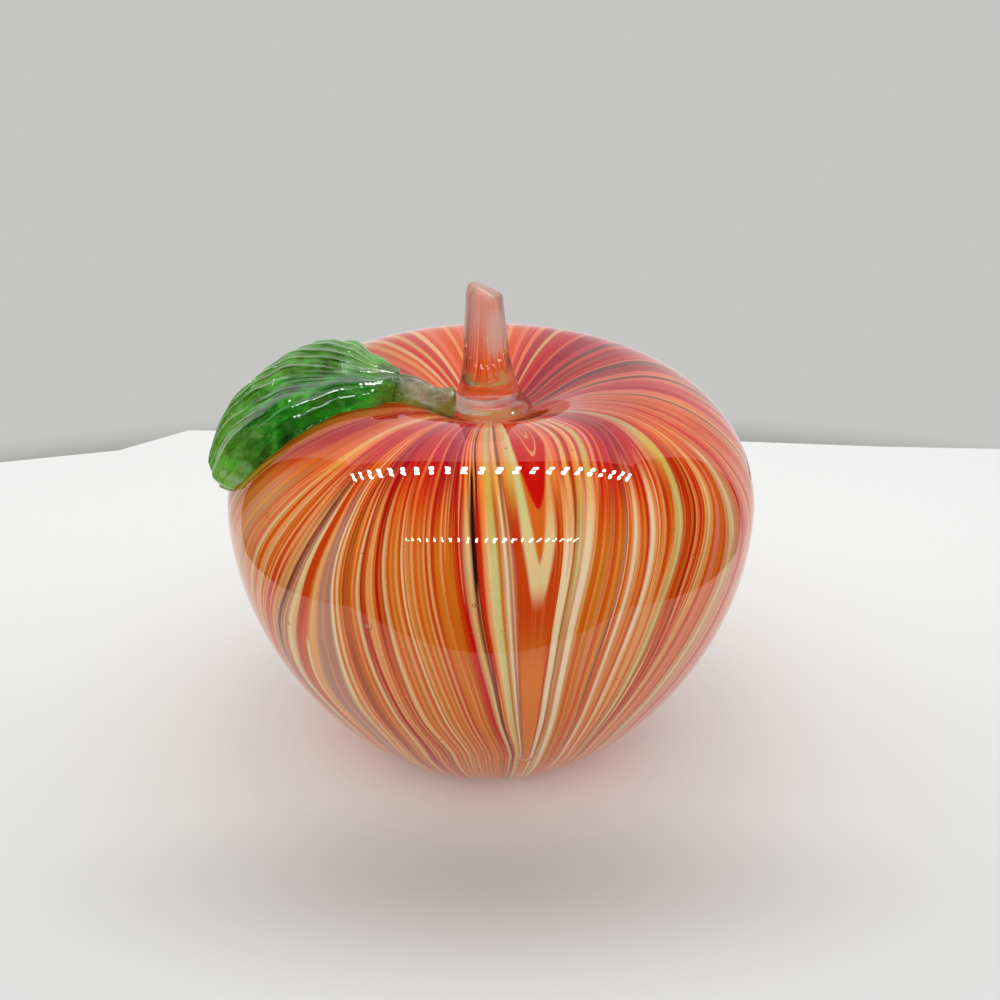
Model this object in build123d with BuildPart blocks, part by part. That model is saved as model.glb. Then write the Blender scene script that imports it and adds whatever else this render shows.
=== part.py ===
from build123d import *
from math import cos, pi, radians, sin
import os

os.makedirs("parts", exist_ok=True)

# A blown art glass apple: a clear bubble, a layer of coloured canes laid round it and drawn
# to a pinch under the base, a clear casing over both, and a hot-worked stem and leaf.
# Millimetres. Z is up, the apple stands on Z = 0, and -Y is the front. The leaf lies on the -X side.

# Body sizes
body_radius = 57.5
belly_height = 58.8
crown_height = 86.4
crown_radius = 31.0
dimple_depth = 7.9
base_radius = 23.6

# Walls, from the outside in
casing_wall = 3.0
cane_thickness = 1.5
gather_wall = 3.0

# The neck that the bubble was blown through, and the pinch under the base where the canes
# meet, which lies off the middle, at an angle round the axis
neck_radius = 4.5
pinch_radius = 3.0
pinch_offset = 8.0
pinch_angle = -78.0

# How the outline bends, in shares of the spans between its named points
base_out_share = 0.28
base_rise_share = 0.085
belly_down_share = 0.52
belly_up_share = 0.68
crown_out_share = 0.31
crown_in_share = 0.55
dimple_out_share = 0.45

# Stem sizes
stem_height = 29.2
stem_lean = 1.35
column_radius = 5.1
foot_radius = 9.3
foot_height = 7.2
plug_droop = 1.2
tip_lobe_radius = 2.1

# Leaf and stalk sizes
leaf_length = 45.0
leaf_width = 43.0
leaf_thickness = 6.4
leaf_root_radius = 21.5
rib_height = 1.6
stalk_width = 9.2
stalk_thickness = 5.4
stalk_forward = 5.8
stalk_end_radius = 5.0
seat_depth = 2.4


def wall_points(inset):
    """The named points of the apple's outline, moved into the glass by inset."""
    base_edge = Vector(base_radius, inset)
    belly = Vector(body_radius - inset, belly_height)
    crown = Vector(crown_radius, crown_height - inset)
    dimple = Vector(0, dimple_height - inset)
    return base_edge, belly, crown, dimple


def draw_wall(inset):
    """Draw the outline from the middle of the base to the middle of the dimple."""
    base_edge, belly, crown, dimple = wall_points(inset)
    low_span = belly - base_edge
    high_span = Vector(belly.X - crown.X, crown.Y - belly.Y)
    base_handle = base_edge + Vector(low_span.X * base_out_share, low_span.X * base_rise_share)
    low_belly_handle = belly - Vector(0, low_span.Y * belly_down_share)
    high_belly_handle = belly + Vector(0, high_span.Y * belly_up_share)
    outer_crown_handle = crown + Vector(high_span.X * crown_out_share, 0)
    inner_crown_handle = crown - Vector(crown_radius * crown_in_share, 0)
    dimple_handle = dimple + Vector(crown_radius * dimple_out_share, 0)
    Line((0, inset), base_edge)
    Bezier(base_edge, base_handle, low_belly_handle, belly)
    shoulder = Bezier(belly, high_belly_handle, outer_crown_handle, crown)
    well = Bezier(crown, inner_crown_handle, dimple_handle, dimple)
    return shoulder, well


def draw_shell(outer_inset, inner_inset):
    """Draw the closed section of a glass layer that lies between two insets."""
    draw_wall(outer_inset)
    draw_wall(inner_inset)
    Line((0, outer_inset), (0, inner_inset))
    Line((0, dimple_height - outer_inset), (0, dimple_height - inner_inset))


dimple_height = crown_height - dimple_depth
cane_inset = casing_wall
gather_inset = cane_inset + cane_thickness
cavity_inset = gather_inset + gather_wall
pinch_place = Vector(pinch_offset * cos(radians(pinch_angle)), pinch_offset * sin(radians(pinch_angle)))

# The whole apple as one solid of revolution, which stem and leaf are seated on
with BuildPart() as apple_form:
    with BuildSketch(Plane.XZ):
        with BuildLine():
            shoulder_line, well_line = draw_wall(0)
            Line((0, dimple_height), (0, 0))
        make_face()
    revolve(axis=Axis.Z)

# Clear casing, open at the neck
with BuildPart() as clear_casing:
    with BuildSketch(Plane.XZ):
        with BuildLine():
            draw_shell(0, cane_inset)
        make_face()
    revolve(axis=Axis.Z)
    with BuildSketch(Plane.XY.offset(belly_height)):
        Circle(neck_radius)
    extrude(amount=crown_height, mode=Mode.SUBTRACT)
clear_casing.part.label = "clear_casing"
export_step(clear_casing.part, "parts/clear_casing.step")

# Clear inner bubble, open at the neck, with the button that fills the pinch in the canes
with BuildPart() as inner_gather:
    with BuildSketch(Plane.XZ):
        with BuildLine():
            draw_shell(gather_inset, cavity_inset)
        make_face()
    revolve(axis=Axis.Z)
    with BuildSketch(Plane.XY.offset(cane_inset)):
        with Locations(pinch_place):
            Circle(pinch_radius)
    extrude(amount=cane_thickness)
    with BuildSketch(Plane.XY.offset(belly_height)):
        Circle(neck_radius)
    extrude(amount=crown_height, mode=Mode.SUBTRACT)
inner_gather.part.label = "inner_gather"
export_step(inner_gather.part, "parts/inner_gather.step")

# The cane layer before it is parted: the space between casing and gather
with BuildPart() as cane_layer:
    with BuildSketch(Plane.XZ):
        with BuildLine():
            draw_shell(cane_inset, gather_inset)
        make_face()
    revolve(axis=Axis.Z)
    with BuildSketch(Plane.XY):
        with Locations(pinch_place):
            Circle(pinch_radius)
    extrude(amount=belly_height, mode=Mode.SUBTRACT)
    with BuildSketch(Plane.XY.offset(belly_height)):
        Circle(neck_radius)
    extrude(amount=crown_height, mode=Mode.SUBTRACT)

# The canes in the order in which they lie round the apple, anticlockwise from above,
# each with its share of the whole turn
cane_order_shares = (
    ("orange", 8), ("cream", 7), ("orange", 10), ("red", 6), ("plum", 5), ("amber", 7),
    ("plum", 4), ("orange", 9), ("red", 5), ("amber", 6), ("orange", 7), ("red", 5),
    ("plum", 4), ("lime", 6), ("orange", 8), ("cream", 6), ("orange", 9), ("amber", 7),
    ("lime", 4), ("red", 9), ("cream", 5), ("orange", 12), ("red", 14), ("plum", 8),
    ("red", 14), ("cream", 7), ("orange", 15), ("plum", 8), ("red", 15), ("lime", 7),
    ("orange", 16), ("cream", 9), ("red", 14), ("amber", 12), ("orange", 15), ("red", 12),
    ("cream", 7), ("orange", 13), ("amber", 10),
)
first_cane_angle = -168.0
base_twist = 8.0
twist_power = 1.7
gather_power = 1.5
level_shares = (0.0, 0.12, 0.28, 0.5, 0.75, 1.0)
wedge_overrun = 2.0
wedge_tip_radius = min(neck_radius, pinch_radius) / 2
wedge_reach = body_radius + pinch_offset + wedge_overrun


def cane_side(angle, height_share):
    """One side of a cane at a share of the crown's height. The sides start from the axis at the
    crown, and further down from a middle that moves over to the pinch, turning a little as they go."""
    down_share = 1 - height_share
    middle = pinch_place * down_share ** gather_power
    turned = angle + base_twist * down_share ** twist_power
    start = middle + Vector(cos(radians(turned)), sin(radians(turned))) * wedge_tip_radius
    return PolarLine(start, wedge_reach, turned)


def cane_sections(start_angle, end_angle):
    """The level sections of the wedge that parts one cane from the layer."""
    sections = []
    for height_share in level_shares:
        with BuildSketch(Plane.XY.offset(crown_height * height_share)) as level:
            with BuildLine():
                start_side = cane_side(start_angle, height_share)
                end_side = cane_side(end_angle, height_share)
                Line(start_side @ 0, end_side @ 0)
                Line(start_side @ 1, end_side @ 1)
            make_face()
        sections.append(level.sketch)
    return sections


share_total = sum(share for colour, share in cane_order_shares)
cane_spans = []
angle = first_cane_angle
for colour, share in cane_order_shares:
    next_angle = angle + 360 * share / share_total
    cane_spans.append((colour, angle, next_angle))
    angle = next_angle

for group_colour in ("red", "orange", "amber", "cream", "lime", "plum"):
    with BuildPart() as cane_group:
        for colour, start_angle, end_angle in cane_spans:
            if colour == group_colour:
                loft(cane_sections(start_angle, end_angle))
        add(cane_layer.part, mode=Mode.INTERSECT)
    cane_group.part.label = group_colour + "_canes"
    export_step(cane_group.part, "parts/" + group_colour + "_canes.step")

# Stem: a flared foot, a column that leans to -X and thins upwards, and a pinched tip.
# Each row is a height and a radius, then the depth of the section for its width.
foot_shares = (
    (-0.35, 0.92, 1.0), (0.0, 0.98, 1.0), (0.14, 1.0, 1.0), (0.3, 0.95, 1.0), (0.52, 0.8, 1.0),
)
column_shares = (
    (0.18, 1.32, 1.0), (0.27, 1.15, 1.0), (0.41, 1.0, 1.0), (0.6, 0.91, 0.96),
    (0.78, 0.83, 0.92), (0.88, 0.78, 0.86), (0.94, 0.68, 0.8), (0.97, 0.48, 0.7),
)
# The two lobes of the tip: places across the column, in radii, and heights
lobe_shares = ((-0.27, 0.945), (0.4, 0.885))


def stem_centre(height):
    """The middle of the stem at a height above the dimple. The lean eases off towards the tip."""
    ease = 1 - (1 - height / stem_height) ** 2
    return Vector(-stem_lean * ease, 0, dimple_height + height)


with BuildPart() as stem:
    for height_share, radius_share, depth_share in foot_shares:
        with BuildSketch(Plane(stem_centre(foot_height * height_share))):
            Ellipse(foot_radius * radius_share, foot_radius * radius_share * depth_share)
    for height_share, radius_share, depth_share in column_shares:
        with BuildSketch(Plane(stem_centre(stem_height * height_share))):
            Ellipse(column_radius * radius_share, column_radius * radius_share * depth_share)
    loft()
    for across_share, height_share in lobe_shares:
        lobe_place = stem_centre(stem_height * height_share) + Vector(column_radius * across_share, 0, 0)
        with Locations(lobe_place):
            Sphere(tip_lobe_radius)
    add(apple_form.part, mode=Mode.SUBTRACT)
    with BuildSketch(Plane.XY.offset(dimple_height - cavity_inset - plug_droop)):
        Circle(neck_radius)
    extrude(amount=cavity_inset + plug_droop + foot_height / 2)
stem.part.label = "stem"
export_step(stem.part, "parts/stem.step")


# Leaf and stalk: stations follow the apple's outline on the -X side, and each section stands
# square to the outline. Across a section, places are counted from the outline towards the front.
# Share of the leaf's length, then the front and the back edge in shares of the leaf's width
edge_shares = (
    (0.0, (stalk_forward + stalk_width / 2) / leaf_width, (stalk_forward - stalk_width / 2) / leaf_width),
    (0.1, 0.355, -0.13), (0.22, 0.395, -0.29), (0.34, 0.44, -0.42), (0.46, 0.46, -0.47),
    (0.58, 0.475, -0.36), (0.7, 0.47, -0.2), (0.82, 0.44, -0.05), (0.93, 0.375, 0.09), (1.0, 0.29, 0.19),
)
# Share of the leaf's length, then the share of the leaf's thickness and of the ribs' height there
swell_shares = (
    (0.0, stalk_thickness / leaf_thickness, 0.0), (0.12, 0.74, 0.45), (0.3, 0.75, 1.0),
    (0.5, 0.88, 1.0), (0.75, 1.0, 1.0), (0.92, 0.85, 0.8), (1.0, 0.4, 0.0),
)
# Share of the way from the front edge to the back edge, then the dome and the ribs there
dome_shares = (
    (0.0, 0.0, 0.0), (0.05, 0.6, 0.0), (0.16, 0.84, 0.0), (0.32, 0.98, 0.25),
    (0.5, 1.0, 1.0), (0.75, 0.98, 1.0), (0.92, 0.84, 1.0), (1.0, 0.0, 0.4),
)
rib_count = 5
rib_sweep_share = 1.7
scallop_share = 0.07
scallop_power = 4
blade_stations = 31
stalk_stations = 8
points_across = 25
# Share of the stalk's length from the leaf, then the share of its width and thickness there
stalk_swell_shares = ((0.0, 1.0), (0.4, 0.94), (0.8, 1.14), (1.0, 1.06))


def read_shares(rows, place, column):
    """A value of a table of shares at a place between its rows, blended smoothly."""
    for low, high in zip(rows, rows[1:]):
        if place <= high[0]:
            blend = (1 - cos(pi * (place - low[0]) / (high[0] - low[0]))) / 2
            return low[column] + (high[column] - low[column]) * blend
    return rows[-1][column]


def outline_plane(distance):
    """The plane square to the outline at a distance from the root of the leaf. Its Y points outward."""
    crown_distance = crown_radius - leaf_root_radius
    if distance < crown_distance:
        line, along = well_line, crown_distance - distance
    else:
        line, along = shoulder_line, shoulder_line.length - (distance - crown_distance)
    point = line.position_at(along, position_mode=PositionMode.LENGTH)
    tangent = line.tangent_at(along, position_mode=PositionMode.LENGTH)
    return Plane(origin=(-point.X, 0, point.Y), x_dir=(0, -1, 0), z_dir=(tangent.X, 0, -tangent.Y))


def across_section(distance, front, back, thickness, length_share, ribs):
    """One section across the leaf or stalk, sunk into the apple by the seat's depth."""
    plane = outline_plane(distance)
    outward = -plane.y_dir.X
    bend = outward / (2 * abs(plane.origin.X))
    points = []
    for index in range(points_across):
        way_back = (1 - cos(pi * index / (points_across - 1))) / 2
        phase = rib_count * (length_share + rib_sweep_share * (1 - way_back))
        ridge = (1 - cos(2 * pi * phase)) / 2
        across = front + (back - front) * way_back
        across -= ribs * scallop_share * leaf_width * ridge * way_back ** scallop_power
        rise = thickness * read_shares(dome_shares, way_back, 1)
        rise += ribs * rib_height * (ridge - 0.5) * read_shares(dome_shares, way_back, 2)
        if index in (0, points_across - 1):
            rise = -seat_depth
        points.append((across, rise - bend * across * across))
    with BuildSketch(plane) as section:
        with BuildLine():
            Polyline(points, close=True)
        make_face()
    return section.sketch


blade_sections = []
for station in range(blade_stations):
    share = station / (blade_stations - 1)
    front_edge = leaf_width * read_shares(edge_shares, share, 1)
    back_edge = leaf_width * read_shares(edge_shares, share, 2)
    thickness_here = leaf_thickness * read_shares(swell_shares, share, 1)
    ribs_here = read_shares(swell_shares, share, 2)
    section = across_section(leaf_length * share, front_edge, back_edge, thickness_here, share, ribs_here)
    blade_sections.append(section)

with BuildPart() as leaf_blade:
    loft(blade_sections, ruled=True)
    add(apple_form.part, mode=Mode.SUBTRACT)
leaf_blade.part.label = "leaf_blade"
export_step(leaf_blade.part, "parts/leaf_blade.step")

stalk_sections = []
stalk_run = leaf_root_radius - stalk_end_radius
for station in range(stalk_stations):
    share = station / (stalk_stations - 1)
    swell = read_shares(stalk_swell_shares, share, 1)
    front_edge = stalk_forward + stalk_width / 2 * swell
    back_edge = stalk_forward - stalk_width / 2 * swell
    section = across_section(-stalk_run * share, front_edge, back_edge, stalk_thickness * swell, 0, 0)
    stalk_sections.append(section)

with BuildPart() as leaf_stalk:
    loft(stalk_sections)
    add(apple_form.part, mode=Mode.SUBTRACT)
    add(stem.part, mode=Mode.SUBTRACT)
leaf_stalk.part.label = "leaf_stalk"
export_step(leaf_stalk.part, "parts/leaf_stalk.step")
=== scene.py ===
import math
import random

import bpy
import numpy as np
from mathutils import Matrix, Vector


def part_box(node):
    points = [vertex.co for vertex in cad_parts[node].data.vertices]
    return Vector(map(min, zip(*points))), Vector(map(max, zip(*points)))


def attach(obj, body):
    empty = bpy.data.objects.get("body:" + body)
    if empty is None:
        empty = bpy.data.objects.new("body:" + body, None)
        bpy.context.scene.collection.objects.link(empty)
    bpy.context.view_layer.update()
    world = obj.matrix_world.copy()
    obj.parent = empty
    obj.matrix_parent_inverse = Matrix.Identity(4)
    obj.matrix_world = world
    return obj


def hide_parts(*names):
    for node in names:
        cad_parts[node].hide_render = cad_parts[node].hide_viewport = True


# A blown art glass apple: coloured canes drawn to a pinch at the base, under a thick clear
# casing, with a clear stem and a ribbed green leaf set on hot. Metres, Z up, front towards -Y.

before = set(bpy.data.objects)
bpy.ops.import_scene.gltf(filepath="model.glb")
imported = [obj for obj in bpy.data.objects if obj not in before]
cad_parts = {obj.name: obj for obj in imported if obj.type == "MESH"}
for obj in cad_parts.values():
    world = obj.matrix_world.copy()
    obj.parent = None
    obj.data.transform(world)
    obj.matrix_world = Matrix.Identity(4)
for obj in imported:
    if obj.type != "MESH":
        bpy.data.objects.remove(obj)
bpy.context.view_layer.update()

mm = 0.001
full_turn = 360.0
# Keeps a division from meeting zero
tiny = 1e-9

# Body: its width and height as packed, its other sizes in the construction's shares of them
belly_height_share = 0.6806
crown_radius_share = 0.5391
dimple_depth_share = 0.1374
base_radius_share = 0.4104
casing_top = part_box("clear_casing")[1]
body_radius = casing_top.x
crown_height = casing_top.z
belly_height = crown_height * belly_height_share
crown_radius = body_radius * crown_radius_share
dimple_depth = body_radius * dimple_depth_share
base_radius = body_radius * base_radius_share
dimple_height = crown_height - dimple_depth
casing_wall = 3.0 * mm
cane_thickness = 1.5 * mm
# How far the canes reach into the casing, and how far the stem and leaf are sunk into it
cane_lap = 0.05 * mm
sunk = 0.25 * mm
# How the outline bends, in shares of the spans between its named points
base_out_share = 0.28
base_rise_share = 0.085
belly_down_share = 0.52
belly_up_share = 0.68
crown_out_share = 0.31
crown_in_share = 0.55
dimple_out_share = 0.45

# Rows of points along the outline, and columns round the axis
base_rows = 10
low_rows = 90
high_rows = 80
well_rows = 44
round_columns = 360
smooth_turn = np.radians(np.linspace(-180.0, 180.0, round_columns + 1))


def bezier(start, first, second, end, count):
    """Points of a cubic curve, without its last one."""
    way = np.linspace(0.0, 1.0, count, endpoint=False)[:, None]
    start, first, second, end = (np.array(point, float) for point in (start, first, second, end))
    return ((1 - way) ** 3 * start + 3 * (1 - way) ** 2 * way * first
            + 3 * (1 - way) * way ** 2 * second + way ** 3 * end)


def wall_outline(inset):
    """Radius and height from the middle of the base to the middle of the dimple, moved in by inset."""
    base_edge = (base_radius, inset)
    belly = (body_radius - inset, belly_height)
    crown = (crown_radius, crown_height - inset)
    dimple = (0.0, dimple_height - inset)
    low_span = (belly[0] - base_edge[0], belly[1] - base_edge[1])
    high_span = (belly[0] - crown[0], crown[1] - belly[1])
    way = np.linspace(0.0, 1.0, base_rows, endpoint=False)[:, None]
    floor_part = way * np.array([base_edge])
    floor_part[:, 1] = inset
    low_part = bezier(base_edge, (base_edge[0] + low_span[0] * base_out_share,
                                  inset + low_span[0] * base_rise_share),
                      (belly[0], belly[1] - low_span[1] * belly_down_share), belly, low_rows)
    high_part = bezier(belly, (belly[0], belly[1] + high_span[1] * belly_up_share),
                       (crown[0] + high_span[0] * crown_out_share, crown[1]), crown, high_rows)
    well_part = bezier(crown, (crown_radius * (1 - crown_in_share), crown[1]),
                       (crown_radius * dimple_out_share, dimple[1]), dimple, well_rows)
    return np.vstack([floor_part, low_part, high_part, well_part, [dimple]])


outer_wall = wall_outline(0.0)
run = np.concatenate([[0.0], np.cumsum(np.hypot(*np.diff(outer_wall, axis=0).T))])
run_share = (run - run[base_rows]) / (run[-1] - run[base_rows])


def wall_normals(outline):
    """Outward normals of an outline, as radius and height."""
    along = np.gradient(outline, axis=0)
    along /= np.linalg.norm(along, axis=1)[:, None]
    return np.stack([along[:, 1], -along[:, 0]], 1)


outer_normals = wall_normals(outer_wall)


def body_place(angle, height_share, lift=0.0):
    """A place on the casing, by its angle from the front in degrees and its share of the outline."""
    radius, height = (np.interp(height_share, run_share, outer_wall[:, axis]) for axis in (0, 1))
    out, up = (np.interp(height_share, run_share, outer_normals[:, axis]) for axis in (0, 1))
    turn = math.radians(angle)
    radius += out * lift
    return Vector((radius * math.sin(turn), -radius * math.cos(turn), height + up * lift))


def seat_points(points, lift):
    """The places nearest to points that lie at a height over the casing, or under it."""
    radius = np.hypot(points[:, 0], points[:, 1])
    flat = np.stack([radius, points[:, 2]], 1)
    gap = ((flat[:, None] - outer_wall[None]) ** 2).sum(2)
    nearest = gap.argmin(1)
    along = np.gradient(outer_wall, axis=0)[nearest]
    along /= np.linalg.norm(along, axis=1)[:, None]
    step = ((flat - outer_wall[nearest]) * along).sum(1)
    seated = outer_wall[nearest] + along * step[:, None] + outer_normals[nearest] * lift
    share = seated[:, 0] / np.maximum(radius, tiny)
    return np.stack([points[:, 0] * share, points[:, 1] * share, seated[:, 1]], 1)


# Meshes

def make_piece(name, points, faces, uv=None, smooth=True, fused=None):
    """A mesh object at the origin, its place in its mesh, marked where it is fused to other glass."""
    mesh = bpy.data.meshes.new(name)
    mesh.from_pydata([tuple(point) for point in points], [], faces)
    if uv is not None:
        layer = mesh.uv_layers.new(name="lie")
        corners = np.array([uv[face_index][corner] for face_index, face in enumerate(faces)
                            for corner in range(len(face))], np.float32)
        layer.data.foreach_set("uv", corners.ravel())
    if fused is not None:
        mesh.attributes.new("fused", "FLOAT", "POINT").data.foreach_set("value", np.array(fused, np.float32))
    mesh.validate()
    mesh.polygons.foreach_set("use_smooth", [smooth] * len(mesh.polygons))
    mesh.update()
    piece = bpy.data.objects.new(name, mesh)
    bpy.context.scene.collection.objects.link(piece)
    return piece


def tube_faces(rings, columns, start=0):
    """Faces of rings of points, one above the other, each with the same count of columns."""
    faces = []
    for ring in range(rings - 1):
        for column in range(columns):
            beside = (column + 1) % columns
            low, high = start + ring * columns, start + (ring + 1) * columns
            faces.append((low + column, low + beside, high + beside, high + column))
    return faces


def revolved(outline, flip=False):
    """Points and faces of a closed outline turned round the axis, poles closed."""
    turns = smooth_turn[:-1]
    body = outline[1:-1]
    points = [(0.0, 0.0, outline[0][1])]
    for radius, height in body:
        points.extend((radius * math.sin(turn), -radius * math.cos(turn), height) for turn in turns)
    points.append((0.0, 0.0, outline[-1][1]))
    columns = len(turns)
    faces = [(0, 1 + (column + 1) % columns, 1 + column) for column in range(columns)]
    faces += tube_faces(len(body), columns, 1)
    top = len(points) - 1
    last = 1 + (len(body) - 1) * columns
    faces += [(last + column, last + (column + 1) % columns, top) for column in range(columns)]
    if flip:
        faces = [tuple(reversed(face)) for face in faces]
    return points, faces


# Shader maths

glass_index = 1.5
white = (1.0, 1.0, 1.0, 1.0)


class Value:
    """A shader socket that can be written into sums, products and comparisons."""

    def __init__(self, finish, socket):
        self.finish = finish
        self.socket = socket

    def maths(self, operation, *values):
        return self.finish.add("ShaderNodeMath", {"operation": operation}, dict(enumerate(values)))

    def __add__(self, other):
        return self.maths("ADD", self, other)

    def __sub__(self, other):
        return self.maths("SUBTRACT", self, other)

    def __rsub__(self, other):
        return self.maths("SUBTRACT", other, self)

    def __mul__(self, other):
        return self.maths("MULTIPLY", self, other)

    def __rmul__(self, other):
        return self.maths("MULTIPLY", other, self)

    def __truediv__(self, other):
        return self.maths("DIVIDE", self, other)

    def __pow__(self, other):
        return self.maths("POWER", self, other)

    def __gt__(self, other):
        return self.maths("GREATER_THAN", self, other)

    def __lt__(self, other):
        return self.maths("LESS_THAN", self, other)

    def at_least(self, other):
        return self.maths("MAXIMUM", self, other)

    def at_most(self, other):
        return self.maths("MINIMUM", self, other)

    def size(self):
        return self.maths("ABSOLUTE", self)

    def sine(self):
        return self.maths("SINE", self)

    def cosine(self):
        return self.maths("COSINE", self)

    def rise(self, low, high):
        """0 up to low, 1 from high on, smooth between."""
        return self.finish.add("ShaderNodeMapRange", {"interpolation_type": "SMOOTHSTEP"},
                               {"Value": self, "From Min": low, "From Max": high})

    def within(self, rising, falling):
        """1 between two soft edges, 0 outside them."""
        return self.rise(*rising) * (1 - self.rise(*falling))


class Finish:
    """A material, or the world, while its nodes are made."""

    def __init__(self, name, world=None):
        self.owner = world or bpy.data.materials.new(name)
        self.owner.use_nodes = True
        self.tree = self.owner.node_tree
        self.tree.nodes.clear()

    def add(self, kind, settings=None, inputs=None, output=0):
        node = self.tree.nodes.new(kind)
        for key, value in (settings or {}).items():
            if key == "stops":
                self.set_stops(node.color_ramp, value)
            else:
                setattr(node, key, value)
        for key, value in (inputs or {}).items():
            if isinstance(value, Value):
                self.tree.links.new(value.socket, node.inputs[key])
            else:
                node.inputs[key].default_value = value
        return Value(self, node.outputs[output])

    @staticmethod
    def set_stops(ramp, stops):
        while len(ramp.elements) < len(stops):
            ramp.elements.new(1.0)
        for element, (place, colour) in zip(ramp.elements, stops):
            element.position = place
            element.color = colour

    def blend(self, factor, first, second, mode="MIX"):
        """Two colours mixed by a factor."""
        node = self.tree.nodes.new("ShaderNodeMix")
        node.data_type = "RGBA"
        node.blend_type = mode
        for index, value in ((0, factor), (6, first), (7, second)):
            if isinstance(value, Value):
                self.tree.links.new(value.socket, node.inputs[index])
            else:
                node.inputs[index].default_value = value
        return Value(self, node.outputs[2])

    def place(self, source="Object"):
        """Coordinates of the surface, as a vector."""
        node = self.tree.nodes.new("ShaderNodeTexCoord")
        return Value(self, node.outputs[source])

    def parts(self, vector):
        """The three numbers of a vector."""
        node = self.tree.nodes.new("ShaderNodeSeparateXYZ")
        self.tree.links.new(vector.socket, node.inputs[0])
        return [Value(self, output) for output in node.outputs]

    def vector(self, x, y, z=0.0):
        return self.add("ShaderNodeCombineXYZ", None, {0: x, 1: y, 2: z})

    def noise(self, vector, scale, detail=2.0, roughness=0.5):
        return self.add("ShaderNodeTexNoise", None,
                        {"Vector": vector, "Scale": scale, "Detail": detail, "Roughness": roughness})

    def length(self, vector):
        return self.add("ShaderNodeVectorMath", {"operation": "LENGTH"}, {0: vector}, 1)

    def bump(self, height, distance=1.0):
        return self.add("ShaderNodeBump", None, {"Strength": 1.0, "Distance": distance, "Height": height})

    def glass(self, tint, bump):
        return self.add("ShaderNodeBsdfPrincipled", None,
                        {"Base Color": tint, "Roughness": 0.0, "IOR": glass_index, "Transmission Weight": 1.0,
                         "Normal": bump})

    def milk(self, colour, roughness, bump=None):
        """Cloudy glass, with the bump of the clear glass round it where it has one."""
        inputs = {"Base Color": colour, "Roughness": roughness, "IOR": glass_index}
        if bump:
            inputs["Normal"] = bump
        return self.add("ShaderNodeBsdfPrincipled", None, inputs)

    def clear(self, tint=white):
        return self.add("ShaderNodeBsdfTransparent", None, {"Color": tint})

    def glow(self, colour, strength, kind="ShaderNodeEmission"):
        return self.add(kind, None, {"Color": colour, "Strength": strength})

    def ray(self, *kinds):
        """1 where the ray is of one of these kinds."""
        node = self.tree.nodes.new("ShaderNodeLightPath")
        values = [Value(self, node.outputs[kind]) for kind in kinds]
        total = values[0]
        for value in values[1:]:
            total = total.at_least(value)
        return total

    def mix_shaders(self, factor, first, second):
        return self.add("ShaderNodeMixShader", None, {0: factor, 1: first, 2: second})

    def surface(self, shader, kind="ShaderNodeOutputMaterial"):
        out = self.tree.nodes.new(kind)
        self.tree.links.new(shader.socket, out.inputs["Surface"])
        return self.owner


def paint(red, green, blue):
    """A colour as a screen shows it, 0 to 255, in the renderer's linear light."""
    linear = []
    for channel in (red, green, blue):
        level = channel / 255
        linear.append(level / 12.92 if level <= 0.04045 else ((level + 0.055) / 1.055) ** 2.4)
    return (*linear, 1.0)


# Glass colours
glass_colours = {
    "red": paint(196, 14, 3), "scarlet": paint(204, 42, 5), "brick": paint(176, 26, 5),
    "rust": paint(198, 62, 6), "orange": paint(212, 90, 8), "amber": paint(202, 108, 18),
    "gold": paint(214, 130, 38), "pale": paint(224, 134, 62), "peach": paint(228, 158, 94),
    "salmon": paint(222, 118, 84), "cream": paint(226, 196, 138), "white": paint(234, 210, 172),
    "lime": paint(202, 198, 128), "umber": paint(172, 80, 22), "tan": paint(206, 150, 110),
    "mauve": paint(180, 122, 104), "plum": paint(124, 60, 50), "soot": paint(104, 34, 18),
    "black": paint(44, 5, 3), "pink": paint(226, 150, 132), "rose": paint(204, 62, 78),
    "grey": paint(104, 66, 62), "crimson": paint(188, 12, 34), "wine": paint(164, 10, 46),
}

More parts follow.
